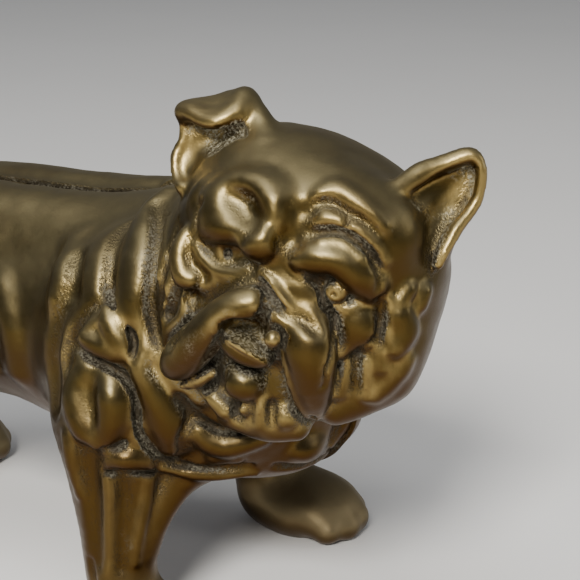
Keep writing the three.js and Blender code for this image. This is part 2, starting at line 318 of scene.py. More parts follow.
def surface_out(clay, across, up, frame):
    """How far out the clay's surface stands at a place, seen from one side."""
    middle, axes = FRAMES[frame]
    out = np.arange(REACH[frame], -6.0, -0.15)
    places = np.stack([np.full_like(out, across), out, np.full_like(out, up)], 1) @ axes + middle
    inside = np.nonzero(clay.at(places) < 0)[0]
    return out[inside[0]] if len(inside) else -6.0


def settle(clay, mark, side, frame):
    """The mark as a mass, standing out of the surface (side 1) or sunk into it (side -1)."""
    if "knots" in mark:
        h = np.broadcast_to(mark["height"], len(mark["knots"]))
        return rope([(u, surface_out(clay, u, w, frame) + side * (h[i] - r), w, r)
                     for i, (u, w, r) in enumerate(mark["knots"])], mark["blend"])
    u, w = mark["place"]
    out = surface_out(clay, u, w, frame) + side * (mark["height"] - mark["radii"][1])
    return ball((u, out, w), mark["radii"], mark["blend"], mark["spin"])


def raise_marks(clay, marks, frame="head"):
    for mass in [settle(clay, mark, 1, frame) for mark in marks]:
        clay.work(mass, frame)


def sink_marks(clay, marks, frame="head"):
    for mass in [settle(clay, mark, -1, frame) for mark in marks]:
        clay.work(mass, frame, cut=True)


# ------------------------------------------------------------------ neck, shoulder and legs
NECK_FOLDS = [
    ridge([1.2, 2.0, 2.8, 3.0, 3.0, 2.4], [(17.1, 120.1, 3.0), (16.4, 117.3, 4.0), (19.0, 113.1, 4.4),
                                           (20.6, 108.1, 4.6), (21.2, 102.4, 4.4), (21.0, 97.6, 3.2)], 4),
    ridge(0.8, [(21.8, 119.4, 0.9), (27.2, 113.8, 1.0), (29.6, 107.8, 1.1), (31.0, 102.1, 1.0),
            (31.4, 95, 0.9)], 1.0),
    ridge(0.7, [(26.0, 119.4, 0.9), (29.2, 114.6, 0.9), (32.0, 109.0, 1.0), (33.6, 103.1, 0.9)], 0.9),
]
SHOULDER_FOLDS = [
    ridge([1.4, 2.6, 3.2, 3.4, 3.4, 3.2, 2.4], [(23.6, 93.6, 2.2), (24.9, 87.9, 2.8), (24.2, 83.5, 3.0),
                                                (25.9, 79.0, 3.6), (27.6, 73.8, 4.6), (28.6, 68.0, 5.2),
                                                (28.5, 62.4, 4.6)], 2.2),
    ridge([1.8, 3.2, 3.4, 2.6], [(14.2, 97.2, 2.2), (15.6, 94.2, 3.4), (18.0, 90.6, 3.6),
            (20.4, 87.6, 2.8)], 2.2),
    ridge([1.6, 2.6, 2.8, 2.6], [(10.4, 93.4, 2.8), (8.4, 89.8, 3.2), (12.0, 88.2, 3.6),
            (16.4, 87.0, 3.4)], 2.4),
    ridge([0.4, 1.2, 0.4], [(0.5, 89.8, 1.6), (-0.2, 84.8, 2.2), (-1.0, 80.2, 1.6)], 4),
    ridge([0.8, 1.4, 0.8], [(-7.6, 105.8, 2.8), (-5.4, 101.2, 3.2), (-5.2, 95.8, 2.4)], 6),
    ridge([1.4, 2.6, 3.2, 3.2, 2.6], [(8.2, 80.8, 2.8), (5.8, 76, 3.6), (6.0, 70.9, 4.2), (8.8, 65.8, 4.2),
                                      (12.0, 62.9, 3.6)], 2.6),
    ridge([2.2, 3.8, 3.8, 3.6, 2.8], [(16.0, 79.4, 3.2), (17.0, 75.4, 4.0), (17.0, 71.0, 4.0),
            (15.8, 66.6, 3.6),
                                      (13.4, 62.9, 3.4)], 2.2),
    ridge([1.2, 1.8, 2.0, 1.6], [(27.6, 89.4, 1.8), (29.8, 84.2, 2.2), (32.8, 79.2, 2.4),
            (36.6, 75.4, 2.2)], 2.6),
    ridge([2.0, 3.2, 3.4, 3.2, 2.4], [(35.2, 65.6, 2.8), (37.2, 62.6, 3.4), (40.9, 61.2, 3.6),
            (45.0, 62.2, 3.6),
                                      (49.2, 63.2, 2.8)], 2),
    ridge(1.6, [(37.2, 57.0, 2.0), (43.0, 57.2, 2.0)], 1.8),
]
SHOULDER_CREASES = [
    groove([0.3, 0.8, 1.2, 1.7, 2.2], [(13.1, 117.8, 1.0), (9.9, 114.3, 1.5), (10.9, 111, 1.8),
            (12.4, 106, 1.8),
                                       (13.2, 102, 1.6)], 3),
    dent(3.4, (13.8, 100.2), (1.3, 3.2, 1.6), 1.0),
    groove([2.2, 2.6, 2.6, 2.2, 1.0], [(15.0, 99.6, 1.1), (17.8, 96.8, 1.3), (20.6, 93.6, 1.3),
            (22.4, 90.3, 1.1),
                                       (22.8, 87.4, 0.8)], 1.4),
    groove([1.4, 2.2, 2.4, 2.6, 2.8, 2.6, 2.8, 2.8, 2.0],
           [(4.7, 86.0, 1.1), (11.3, 84.3, 1.2), (16.7, 82.7, 1.2), (20.8, 79.6, 1.3), (22.8, 75.2, 1.4),
            (22.5, 70.5, 1.3), (22.6, 64.7, 1.3), (24.6, 59.3, 1.2), (27.4, 56.0, 0.9)], 1.3),
    groove([0.6, 1.3, 1.6, 1.4, 1.0], [(11.0, 97.6, 0.9), (8.4, 95.2, 1.0), (5.4, 91.0, 1.2), (2.8, 86.2, 1.2),
                                       (1.3, 79.9, 1.2)], 2.6),
    groove([0.6, 1.0, 1.2, 0.9, 0.5], [(0.8, 99.3, 1.6), (-1.8, 92.6, 1.7), (-3.6, 85.6, 1.7),
            (-4.8, 76.5, 1.6),
                                       (-4.0, 68.0, 1.2)], 5.0),
    groove([0.6, 1.2, 1.2], [(-0.9, 106.6, 1.6), (0.5, 102.7, 1.8), (0.9, 98.5, 1.6)], 4),
    groove([1.2, 1.5, 1.5, 1.2], [(33.4, 76, 1.1), (34.4, 70.6, 1.2), (33.0, 64.6, 1.2),
            (31.4, 59.0, 1.0)], 1.6),
    groove([1.4, 1.6, 1.5, 1.0], [(36.0, 69.2, 1.0), (40.2, 66.2, 1.1), (45.6, 66.2, 1.1),
            (50.4, 67.2, 0.9)], 1.3),
]
NECK_CREASES = [
    groove([0.5, 1.0, 1.2, 1.2, 1.2, 1.0, 0.6],
           [(17.9, 121.0, 1.0), (22.8, 117.8, 1.1), (25.6, 112.8, 1.2), (26.4, 106, 1.2), (26.5, 101, 1.2),
            (27.4, 95.6, 1.1), (28.8, 91.0, 0.9)], 2.6),
]
LEG_MUSCLES = [
    ridge([1.6, 2.6, 2.4, 1.0], [(3.3, 61.8, 2.2), (4.2, 57.8, 2.8), (4.4, 52.5, 2.6), (5.8, 46.2, 2.0)], 1.8),
    ridge([0.8, 1.5, 1.4, 0.8, 0.1], [(14.2, 52.8, 2.6), (14.5, 47.5, 3.0), (14.5, 41.5, 2.8),
            (14.0, 34.5, 2.4), (13.8, 29, 2.0)], 2),
    ridge([0.6, 1.2, 1.2, 0.6, 0.1], [(21.6, 50.0, 1.8), (20.9, 44.5, 2.0), (20.2, 38.6, 2.0),
            (19.4, 32.6, 1.6), (19.0, 27, 1.2)], 1.5),
    ridge([1.2, 2.8, 1.4], [(15.2, 57.0, 2.2), (19.2, 58.0, 3.4), (23.2, 55.8, 2.0)], 1.2),
    ridge([0.8, 1.2, 1.0], [(13.0, 26.0, 2.4), (12.6, 21.0, 2.6), (13.4, 15.5, 2.2)], 2.4),
]
LEG_CREASES = [
    groove([0.9, 0.8, 0.6, 0.2, 0.0], [(10.0, 59.4, 1.1), (9.9, 50.8, 1.2), (10.4, 41, 0.9),
            (10.7, 33.5, 0.8), (10.9, 27, 0.5)], 4.0),
    groove([0.5, 0.9, 0.7, 0.3, 0.0], [(17.9, 52.6, 1.0), (18.0, 45.8, 1.3), (17.8, 39.6, 1.3),
            (17.3, 32, 1.0), (17.0, 26, 0.6)], 4.0),
    groove([1.6, 1.8, 1.8], [(11.6, 59.6, 0.8), (15.0, 61.0, 0.9), (19.0, 62.6, 0.8)], 0.9),
    groove([1.2, 1.8, 1.4], [(13.8, 53.8, 0.8), (18.6, 53.2, 0.9), (23.6, 52.6, 0.8)], 0.9),
    groove([0.6, 1.0, 0.6], [(8.0, 27.0, 0.9), (9.0, 21.0, 0.9), (10.2, 16.0, 0.8)], 1.2),
]
CHEST_EDGES = [
    ridge(1.3, [(24.6, 53.4, 1.2), (28.8, 51.6, 1.3), (35.4, 50.4, 1.4), (44.5, 50.3, 1.4)], 1.1),
]
CHEST_CREASES = [
    groove(1.2, [(25.0, 56.0, 0.8), (30.0, 53.7, 0.9), (36.0, 53.0, 0.9), (44.5, 53.2, 0.9)], 0.9),
]
CHEST = [
    ball((44, -6, 53), (14, 16, 7), 5),
    rope([(32, -28, 53, 5.0), (26, -31.5, 46.5, 4.4), (22, -35, 38, 3.6), (19, -37.5, 29, 2.6)], 5),
]
CHEST_FRONT = [
    bump(3.0, (-14.5, 56.6), (7.0, 5.0, 4.6), 2.4),
    bump(2.2, (2.0, 60.0), (6.0, 4.5, 6.0), 4),
    ridge([1.4, 1.8, 1.2], [(10, 74, 2.6), (16, 66, 2.8), (20, 58, 2.4)], 3),
]
FRONT_CREASES = [
    groove([1.0, 1.6, 1.0], [(-22.0, 52.0, 0.9), (-12.0, 50.4, 1.0), (2.0, 51.0, 0.9)], 1.2),
    groove([1.0, 1.4, 1.0], [(-5.0, 66.0, 1.2), (-5.0, 60.0, 1.4), (-6.0, 54.0, 1.2)], 2.4),
    groove([0.8, 1.4, 1.0], [(8, 66.0, 1.2), (11, 60.0, 1.4), (12, 54.0, 1.2)], 2.4),
]
HAUNCH_FOLDS = [
    ridge([1.0, 1.8, 1.6, 0.8], [(-112, 86, 4.0), (-108, 72, 4.6), (-110, 58, 4.0), (-115, 48, 3.0)], 5),
    ridge([1.0, 1.8, 1.4], [(-84, 88, 5.0), (-76, 72, 5.4), (-78, 58, 4.4)], 6),
    ridge([1.2, 1.8, 1.4, 1.0], [(-112, 40, 2.0), (-112.5, 32, 2.2), (-112, 24, 2.2), (-110, 17, 2.0)], 2),
    ridge([0.8, 1.2, 0.8], [(-52, 82, 3.0), (-48, 74, 3.4), (-50, 66, 3.0)], 6),
    ridge([0.6, 1.0, 0.6], [(-30, 92, 2.8), (-25, 82, 3.2), (-25, 70, 2.8)], 5),
]
HAUNCH_CREASES = [
    groove([0.8, 1.6, 1.8, 1.2], [(-66, 92, 1.6), (-64, 78, 2.0), (-66, 62, 2.0), (-74, 50, 1.6)], 4),
    groove([0.6, 1.4, 1.4, 0.8], [(-97, 84, 1.4), (-94, 70, 1.8), (-97, 56, 1.6), (-104, 46, 1.2)], 4),
    groove([0.8, 1.2, 0.8], [(-118, 40, 1.0), (-118, 30, 1.1), (-116, 20, 1.0)], 1.6),
    groove([0.5, 0.9, 0.6], [(-38, 94, 1.6), (-34, 82, 1.8), (-35, 70, 1.6)], 4),
]
RUMP_MARKS = [
    groove([0.6, 1.6, 1.6, 0.8], [(0.5, 64, 1.4), (1.0, 56, 1.8), (1.0, 50, 1.6), (0, 46, 1.2)], 3),
]
BACK_CUTS = [rope([(-104, 0, 116.5, 2.2), (-70, 0, 118.4, 3.4), (-20, 0, 119.4, 4.6), (0, 0, 119.6, 3.6)], 4)]
TAIL_TIP = [rope([(-127, 3, 80, 4.6), (-125, 7, 74, 3.6), (-121.5, 9.6, 69.5, 2.4)], 3)]


def toes(x, y, splay):
    """The four toes of a paw whose front middle is at (x, y)."""
    across = [-8.0, -2.8, 2.8, 8.0]
    back = [3.6, 0.0, 0.0, 3.6]
    return [rope([(x - 14 - b, y + 0.7 * a, 9.0, 3.6), (x - 7 - b, y + a, 7.8, 4.2),
                  (x - 2.4 - b, y + splay * a, 5.0, 3.8)], 2.6) for a, b in zip(across, back)]


PAWS = [(42.0, -40.0, 1.05), (44.0, 43.0, 1.05), (-90.0, -35.0, 1.03), (-90.0, 35.0, 1.03)]


def limb_details(clay):
    add(clay, CHEST)
    for side in ("near", "far"):
        raise_marks(clay, HAUNCH_FOLDS, side)
        sink_marks(clay, HAUNCH_CREASES, side)
        raise_marks(clay, SHOULDER_FOLDS, side)
        sink_marks(clay, SHOULDER_CREASES if side == "near" else SHOULDER_CREASES[3:], side)
        raise_marks(clay, LEG_MUSCLES, side)
        sink_marks(clay, LEG_CREASES, side)
    for paw in PAWS:
        add(clay, toes(*paw))


def body_details(clay):
    limb_details(clay)
    raise_marks(clay, NECK_FOLDS, "near")
    sink_marks(clay, NECK_CREASES, "near")
    raise_marks(clay, CHEST_FRONT, "front")
    sink_marks(clay, FRONT_CREASES, "front")
    raise_marks(clay, CHEST_EDGES, "near")
    sink_marks(clay, CHEST_CREASES, "near")
    sink_marks(clay, RUMP_MARKS, "rear")
    cut(clay, BACK_CUTS)
    add(clay, TAIL_TIP)


# ------------------------------------------------------------------ the face, seen from its front
FOREHEAD_FOLDS = [
    rope([(-22.3, 21.4, 13.3, 1.8), (-18.8, 22.4, 16.6, 2.4), (-14.4, 23.2, 18.8, 3.0), (-9.9, 24.4, 19.4, 3.6),
          (-6.0, 26.0, 17.8, 4.0), (-4.0, 27.2, 15.1, 3.6), (-3.4, 28.0, 12.6, 2.8)], 4),
    rope([(-24.8, 19.2, 6.8, 1.8), (-26.6, 18.0, 9.5, 2.0), (-25.4, 18.0, 13.0, 1.8)], 2.5),
]
SOCKETS = [
    rope([(-21.4, 26.4, 1.6, 1.8), (-17.3, 28.4, 2.2, 3.4), (-12.8, 30.0, 2.6, 3.8),
            (-8.6, 31.4, 3.0, 2.8)], 2.4),
    rope([(8.6, 31.4, 4.6, 1.8), (11.8, 30.6, 3.8, 3.5), (15.1, 29.2, 3.2, 3.6), (18.6, 27.2, 2.2, 2.2)], 1.6),
    rope([(-2.2, 34.6, 10.2, 1.8), (-0.2, 35.6, 8.1, 2.2), (-1.6, 35.6, 5.2, 1.8)], 2.5),
]
BROWS = [
    rope([(4.6, 28.4, 8.9, 4.5), (7.3, 29.0, 9.8, 4.0), (10.6, 28.8, 10.4, 3.7), (13.6, 27.8, 9.8, 4.1),
          (16.8, 26.2, 7.9, 4.7), (19.4, 24.0, 5.4, 4.5), (20.2, 22.6, 2.6, 3.2)], 1.4),
    ball((-6.8, 29.4, 9.6), (5.2, 4.9, 5.6), 1.3),
    rope([(-10.4, 28.0, 9.6, 2.8), (-13.2, 27.6, 9.2, 3.1), (-16.4, 26.6, 8.1, 3.4), (-20.0, 24.4, 6.2, 3.3),
          (-22.6, 22.6, 4.9, 2.7)], 2.0),
    ball((-17.2, 23.4, 11.0), (6.8, 4.8, 5.4), 3.5),
]
LIDS = [
    ridge([0.2, 0.7, 0.8, 0.6, 0.2], [(9.6, 1.4, 0.8), (11.0, -0.4, 0.9), (13.6, -1.4, 0.9),
            (16.4, -0.8, 0.9), (18.4, 0.4, 0.8)], 1.6),
    ridge(0.9, [(-23.0, 0.4, 0.9), (-19.6, -1.8, 1.1), (-15.6, -2.9, 1.2), (-11.6, -1.4, 1.2),
            (-8.4, 1.0, 1.1)], 1.4),
]
EYES = [
    bump(4.0, (13.0, 2.4), (2.8, 2.8, 2.8), 0.3),
    bump(1.3, (-14.6, 1.8), (3.6, 3.0, 3.4), 1.2),
]
PUPILS = [
    dent(2.4, (-14.4, 2.0), (1.3, 2.6, 1.5), 0.6),
    dent(1.2, (13.0, 2.5), (0.8, 1.2, 0.9), 0.5),
]
FOREHEAD_MARKS = [
    ridge(0.7, [(3.6, 22.6, 1.6), (6.0, 24.2, 1.8), (10.6, 23.6, 1.8), (15.4, 21.8, 1.6),
            (18.8, 19.6, 1.4)], 2.4),
    ridge(0.9, [(3.8, 17.0, 1.5), (6.0, 18.4, 1.7), (9.0, 18.8, 1.7), (12.0, 18.4, 1.6), (15.4, 17.2, 1.5),
                (18.4, 15.0, 1.5), (21.0, 12.0, 1.4)], 1.4),
    ridge(0.8, [(7.2, 13.8, 1.4), (10.4, 14.4, 1.5), (14.0, 14.0, 1.5), (17.2, 12.4, 1.4)], 1.2),
]
FOREHEAD_CUTS = [
    groove([0.8, 1.4, 1.7, 1.7, 1.5, 1.2, 0.8, 0.4], [(4.6, 15.0, 1.0), (6.4, 15.4, 1.1),
            (9.1, 16.4, 1.1), (12.4, 16.4, 1.1), (15.8, 15.2, 1.1),
                 (19.0, 13.0, 1.1), (21.6, 9.6, 1.0), (22.6, 6.0, 0.8)], 1.2),
    groove([0.4, 0.8, 1.1, 1.1, 0.9, 0.6, 0.2],
           [(2.7, 18.7, 0.8), (3.3, 21.0, 0.9), (6.1, 22.0, 1.0), (9.5, 21.4, 0.9), (12.1, 20.9, 0.9),
            (15.6, 20.2, 0.8), (18.7, 18.6, 0.7)], 1.4),
    dent(1.8, (11.3, 19.8), (0.7, 1.6, 1.5), 0.5),
]
BROW_CUTS = [
    groove([1.0, 0.7, 0.3], [(-10.2, 9.4, 0.8), (-9.9, 12.0, 0.9), (-9.4, 14.4, 0.9)], 1.6),
    groove([0.2, 0.6, 0.5], [(-16.0, 16.6, 1.4), (-12.4, 15.8, 1.8), (-9.2, 13.8, 1.4)], 4),
    groove([0.4, 1.0, 1.4], [(0.6, 18.4, 2.2), (0.8, 15.6, 2.4), (0.4, 12.6, 2.2)], 4),
    groove([0.8, 1.0, 0.8], [(-23.8, 12.0, 0.9), (-24.6, 8.6, 1.0), (-23.6, 3.6, 0.9)], 1.4),
]
NOSE = [
    rope([(0.8, 28.4, 0.4, 2.4), (4.4, 28.6, 0.2, 2.6), (7.6, 27.8, -1.0, 2.6)], 3.5),
    ball((4.0, 30.6, -5.4), (7.2, 4.4, 4.4), 2.0),
]
NOSE_RIDGE = [
    ridge([0.6, 1.4, 1.6, 1.4, 0.6], [(-4.6, 2.4, 0.9), (-1.8, 1.7, 1.0), (0.9, 0.2, 1.0),
            (3.4, -1.6, 1.0), (5.4, -3.4, 0.8)], 0.9),
]
FLEWS = [
    rope([(8.6, 29.6, -6.0, 4.6), (10.2, 31.4, -9.8, 5.9), (12.0, 31.2, -14, 5.9), (13.3, 29.8, -19.8, 5.2),
          (14.4, 28.2, -25.2, 3.9), (15.0, 26.8, -30.0, 2.2)], 2),
    rope([(-4.4, 33.6, -4.4, 3.9), (-7.0, 33.8, -6.4, 4.5), (-10.2, 33.2, -10.5, 4.8),
            (-13.4, 31.8, -16.2, 5.1),
          (-16.6, 30.0, -22.2, 5.4), (-19.2, 28.6, -26.8, 5.2), (-20.6, 27.8, -29.4, 4.2)], 1.2),
]
NOSE_CUTS = [
    groove([0.4, 1.2, 1.4, 0.8], [(3.2, -2.4, 1.0), (6.4, -3.4, 1.2), (9.6, -4.2, 1.2),
            (12.6, -5.4, 1.0)], 2.0),
    groove([1.0, 1.8, 2.0, 1.2, 0.3], [(-3.6, 0.2, 1.1), (-1.4, -0.6, 1.3), (0.9, -2.2, 1.3), (3.2, -3.8, 1.0),
                                       (5.0, -4.8, 0.7)], 1.0),
    groove([2.0, 2.8, 2.4], [(-1.0, -2.8, 1.3), (-1.3, -6.2, 1.6), (-1.6, -9.0, 1.4)], 1.2),
]
MOUTH = [
    ball((-3.9, 37.0, -11.4), (5.8, 8.0, 3.6), 1.2),
    rope([(-8.4, 35.6, -15.5, 2.0), (-9.6, 34.2, -20.8, 2.2), (-10.7, 32.8, -26.0, 1.8)], 2),
    rope([(4.6, 35.6, -15.7, 2.2), (6.0, 34.6, -20.5, 2.4), (8.6, 33.0, -25.2, 2.0)], 1.6),
    ball((-2.0, 35.0, -21.5), (8.5, 5.5, 5.0), 2),
]
MOUTH_SHAPES = [
    ball((3.3, 36.6, -9.9), (2.0, 2.2, 2.2), 0.4),
    ball((-3.5, 32.0, -17.0), (7.2, 4.6, 3.7), 0.6, -10),
    rope([(-8.0, 35.4, -14.6, 0.6), (-4.4, 36.6, -14.8, 0.7), (-0.8, 36.2, -15.8, 0.7),
            (2.4, 34.6, -17.4, 0.6)], 0.5),
    ball((-3.0, 29.4, -26.8), (5.5, 4.9, 5.0), 1.0),
]
LIP_EDGE = [
    ridge([0.8, 1.2, 1.3, 1.3, 1.1, 0.7], [(5.4, -12.2, 0.8), (6.8, -15.0, 0.9), (8.4, -18.6, 0.9),
            (10.2, -22.6, 0.9),
                                           (12.2, -27.0, 0.8), (14.0, -30.6, 0.7)], 0.7),
]
MOUTH_CUTS = [
    ball((5.1, 38.0, -12.4), (0.6, 2.6, 1.8), 0.4),
    rope([(-7.9, 32.5, -20.9, 0.9), (-3.0, 34.6, -21.4, 1.0), (1.3, 34.8, -21.0, 1.0),
            (4.3, 34.0, -20.2, 1.0)], 1),
    rope([(-7.6, 32.0, -24.4, 1.2), (-8.0, 31.0, -28.7, 1.4), (-5.8, 30.4, -32.3, 1.1)], 1.5),
    rope([(3.1, 33.0, -21.2, 1.2), (3.2, 32.4, -24.1, 1.3), (2.6, 31.8, -27.3, 0.9)], 1),
]
CHIN = [
    rope([(-17.7, 27.2, -35.0, 1.2), (-15.3, 28.4, -32.8, 1.5), (-13.1, 29.2, -30.4, 1.7),
            (-10.9, 29.4, -27.6, 1.6)], 1),
    rope([(-11.8, 26.6, -34.5, 2.0), (-9.1, 27.8, -35.2, 2.4), (-6.3, 28.0, -36.8, 2.6)], 3.5),
    ball((-1.3, 29.2, -34.1), (1.4, 1.8, 1.9), 0.8),
    rope([(1.8, 28.2, -31.9, 2.8), (3.2, 27.4, -35.8, 3.0)], 2.5),
    rope([(-6.0, 24.6, -40.5, 2.6), (-0.4, 25.4, -40.0, 2.8), (5.4, 24.8, -39.5, 3.2),
            (11.3, 24.0, -37.0, 3.4)], 4),
    ball((8.3, 27.2, -33.4), (3.4, 2.6, 3.0), 2.5),
]
CHIN_CUTS = [
    groove(1.0, [(-17.2, -36.0, 0.8), (-13.6, -34.6, 0.9), (-10.9, -31.6, 0.9)], 0.8),
    groove([1.0, 0.3], [(-3.4, -32.6, 0.8), (-2.8, -37.0, 0.9)], 1.6),
    groove([1.0, 0.3], [(0.7, -31.6, 0.8), (1.0, -36.2, 0.9)], 1.6),
    groove([0.9, 0.3], [(5.0, -30.6, 0.9), (6.4, -35.6, 1.0)], 2),
]
JOWLS = [
    ball((27.5, 13.0, -16.0), (6.5, 9.0, 9.0), 8),
    rope([(27.0, 14.0, -21.0, 4.6), (22.6, 18.0, -26.0, 4.6), (18.6, 21.0, -29.6, 4.2)], 6),
    ball((18.8, 23.6, -5.1), (5.8, 5.4, 7.0), 1.6, 20),
    rope([(18.4, 25.4, -8.0, 3.0), (17.6, 26.6, -12.0, 2.0)], 1.5),
]
CHEEKS = [
    ridge(2.4, [(27.2, -1.1, 3.6), (28.8, -5.1, 4.0), (28.8, -8.6, 2.8)], 1.6),
    ridge(1.2, [(24.3, 3.0, 1.2), (25.9, -0.7, 1.2), (26.2, -4.6, 1.2), (27.8, -7.8, 1.2),
            (30.4, -8.8, 1.1)], 0.9),
    ridge(1.6, [(27.8, 5.1, 2.0), (27.0, 2.6, 1.8)], 1.6),
    ridge(1.6, [(30.8, 4.3, 2.0), (30.9, 1.3, 2.0)], 1.6),
    ridge(1.6, [(19.2, -15.0, 1.8), (19.6, -18.7, 2.2), (19.5, -23.2, 2.0)], 1.4),
    ridge(1.2, [(23.0, -13.8, 1.4), (24.5, -18.3, 1.6), (25.6, -22.8, 1.5)], 1.3),
    ridge(1.0, [(25.9, -10.8, 1.7), (27.0, -14.4, 1.8)], 1.2),
    ridge(0.9, [(31.8, -12.0, 1.6), (31.0, -15.0, 2.0), (29.4, -18.9, 2.0), (27.6, -22.3, 1.6)], 2.4),
    ridge([2.0, 3.0, 3.4, 3.6, 3.2], [(-26.4, 1.6, 2.0), (-26.6, -1.6, 2.5), (-25.8, -4.8, 2.9),
            (-23.8, -7.4, 3.1),
                                      (-21.8, -7.6, 3.0)], 1.0),
    ridge(1.4, [(-22.6, -12.6, 1.1), (-21.9, -15.4, 1.3), (-21.9, -18.2, 1.2)], 0.9),
    ridge([1.4, 2.0, 2.0, 1.2], [(-21.4, -17.0, 1.6), (-23.2, -20.5, 2.0), (-25.0, -24.4, 2.1),
            (-25.4, -28.4, 1.8)], 1.2),
    ridge(0.7, [(-15.4, -5.4, 1.3), (-18.6, -9.0, 1.2), (-20.2, -13.0, 1.0)], 1.2),
]
CHEEK_CUTS = [
    groove([1.2, 1.5, 1.8, 2.0, 2.0, 1.6, 0.6],
           [(5.2, 6.0, 0.8), (8.6, 3.0, 0.9), (11.4, -0.8, 1.0), (14.2, -3.6, 1.0), (15.6, -7.5, 0.9),
            (16.4, -13.1, 0.8), (17.0, -18.6, 0.7)], 0.9),
    groove(1.0, [(20.4, -12.1, 0.6), (22.1, -9.6, 0.6), (23.7, -7.2, 0.6)], 0.7),
    groove([0.8, 1.2, 1.0], [(23.4, 3.0, 1.1), (24.2, -1.9, 1.2), (24.6, -7.0, 1.1)], 1.6),
    groove([0.9, 0.5, 0.1], [(21.4, -13.4, 0.9), (22.4, -17.4, 1.0), (23.2, -21.0, 0.8)], 1.6),
    dent(2.6, (-20.6, -12.0), (2.0, 3.0, 2.6), 1.0),
    groove(1.5, [(-29.2, 0.0, 0.9), (-29.6, -4.0, 1.0), (-27.6, -8.8, 1.2), (-25.2, -11.4, 1.3)], 1.0),
    groove(2.0, [(-25.8, -12.6, 1.3), (-25.9, -16.8, 1.6), (-26.6, -20.6, 1.4)], 1.6),
    groove(1.2, [(-18.4, -11.2, 1.1), (-19.6, -17.1, 1.2), (-21.9, -23.0, 1.1)], 1.0),
    groove(1.0, [(-31.6, 0.6, 0.9), (-31.0, -5.6, 0.9), (-30.4, -13.3, 1.0), (-29.6, -21.2, 1.0)], 1.4),
    dent(1.4, (15.3, -31.2), (0.8, 2.0, 2.4), 0.6),
]


def face(clay):
    add(clay, FOREHEAD_FOLDS, "head")
    cut(clay, SOCKETS, "head")
    add(clay, BROWS, "head")
    add(clay, JOWLS, "head")
    raise_marks(clay, LIDS)
    raise_marks(clay, EYES)
    sink_marks(clay, PUPILS)
    raise_marks(clay, FOREHEAD_MARKS)
    sink_marks(clay, FOREHEAD_CUTS)
    sink_marks(clay, BROW_CUTS)
    raise_marks(clay, CHEEKS)
    add(clay, NOSE, "head")
    add(clay, FLEWS, "head")
    sink_marks(clay, NOSE_CUTS)
    raise_marks(clay, NOSE_RIDGE)
    sink_marks(clay, CHEEK_CUTS)
    cut(clay, MOUTH, "head")
    add(clay, MOUTH_SHAPES, "head")
    raise_marks(clay, LIP_EDGE)
    cut(clay, MOUTH_CUTS, "head")
    add(clay, CHIN, "head")
    sink_marks(clay, CHIN_CUTS)


# ------------------------------------------------------------------ the ears
EAR_PLATES = [
    rope([(20, 6, 19, 5.0), (25, 1.0, 25, 4.5), (29.5, -1.5, 29.8, 3.2), (31.4, -1.5, 33, 2.2)], 4),
    rope([(27, 5, 12, 5.5), (30, 1.0, 19, 4.5), (33, -1.0, 26.4, 2.6)], 4),
    rope([(-20, 6, 19, 5.0), (-26, 1.5, 24, 4.2), (-29, -1.0, 27.6, 3.0)], 4),
    rope([(-26, 7, 12, 5.0), (-32, 2.0, 17.5, 4.2), (-35.4, 0.0, 23.0, 2.6)], 4),
    rope([(-30, 7, 8, 4.0), (-35, 4.0, 12, 3.0), (-36.0, 1.5, 18, 2.2)], 3),
]
PRICKED_RIM = rope([
    (16.4, 15.4, 23.8, 1.8), (18.0, 13.0, 25.4, 2.3), (20.0, 9.6, 27.0, 2.7), (22.2, 7.0, 29.0, 2.9),
    (24.9, 5.2, 30.6, 2.8), (27.3, 4.0, 32.2, 2.7), (29.4, 3.4, 34.0, 2.5), (31.3, 3.0, 35.0, 2.2),
    (33.2, 3.0, 34.0, 1.9), (34.6, 3.0, 31.7, 1.8), (35.3, 3.2, 28.4, 1.8), (35.4, 4.0, 25.2, 1.9),
    (34.4, 5.5, 22.2, 2.0), (33.2, 7.5, 19.6, 2.1), (32.6, 9.5, 16.6, 2.0), (32.2, 11.5, 13.6, 1.8),
    (32.2, 12.6, 10.4, 1.3)], 1.6)
PRICKED_HOLLOW = [
    rope([(24.2, 9.8, 23.8, 2.2), (28.4, 7.0, 27.4, 3.3), (31.2, 5.6, 30.6, 2.2), (32.4, 5.2, 32.4, 1.2)], 2),
    rope([(32.2, 6.2, 27.4, 2.0), (30.4, 7.6, 23.4, 2.9), (29.4, 10.5, 19.6, 2.3), (30.2, 14.0, 15.2, 1.5)], 2),
]
FOLDED_RIMS = [
    rope([(-39.0, 2.6, 22.6, 1.3), (-38.5, 3.6, 20.4, 1.3), (-37.8, 4.6, 17.4, 1.3), (-38.3, 5.4, 14.4, 1.4),
          (-38.0, 6.6, 12.0, 1.5), (-36.4, 8.2, 9.6, 1.6), (-33.4, 10.6, 8.0, 2.0)], 1.4),
    rope([(-25.8, 1.2, 30.4, 2.8), (-22.8, 2.5, 29.4, 3.1), (-20.0, 4.0, 27.6, 3.3), (-17.6, 6.0, 25.6, 3.3),
          (-15.6, 9.0, 23.8, 3.2)], 3),
    rope([(-23.5, 5.2, 27.8, 1.0), (-21.5, 6.6, 26.8, 1.0), (-20.0, 8.2, 25.0, 1.0),
            (-18.6, 10.4, 23.2, 1.1)], 0.9),
]
FOLDED_HOLLOW = [
    rope([(-34.6, 10.4, 12.0, 2.3), (-33.8, 8.4, 17.5, 3.2), (-30.4, 7.8, 21.6, 4.0),
            (-25.2, 8.0, 24.8, 2.8)], 2),
    rope([(-22.8, 7.6, 26.4, 0.9), (-21.0, 9.4, 24.4, 1.0)], 1),
]
